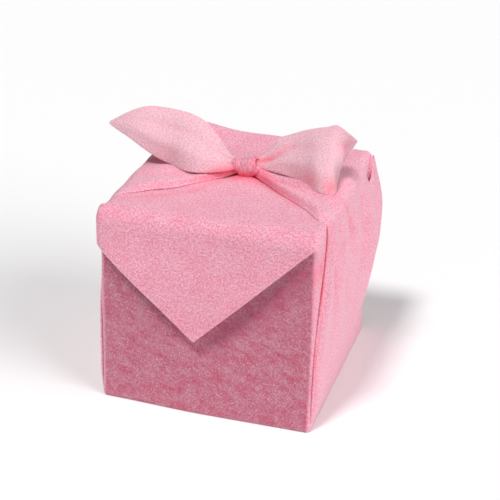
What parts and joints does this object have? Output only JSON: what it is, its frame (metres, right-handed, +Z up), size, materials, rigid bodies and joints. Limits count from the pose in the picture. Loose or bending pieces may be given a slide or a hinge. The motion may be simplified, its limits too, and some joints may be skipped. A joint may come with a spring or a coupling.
{
  "type": "furoshiki wrap",
  "caption": "Square non-woven cloth folded and tied round a box: pointed front flap, gathered side wings, a knot on top with two loose tails.",
  "frame": {"origin": "middle of the flat base that the wrap rests on", "axes": "+Z up, -Y towards the front with its pointed flap, +X to the right seen from the front"},
  "size_m": [0.2361, 0.2154, 0.2414],
  "materials": {
    "cloth": "matt pink non-woven cloth, mottled with fine light and dark flecks"
  },
  "bodies": {
    "root": {"furoshiki_cloth": "cloth"}
  },
  "joints": []
}
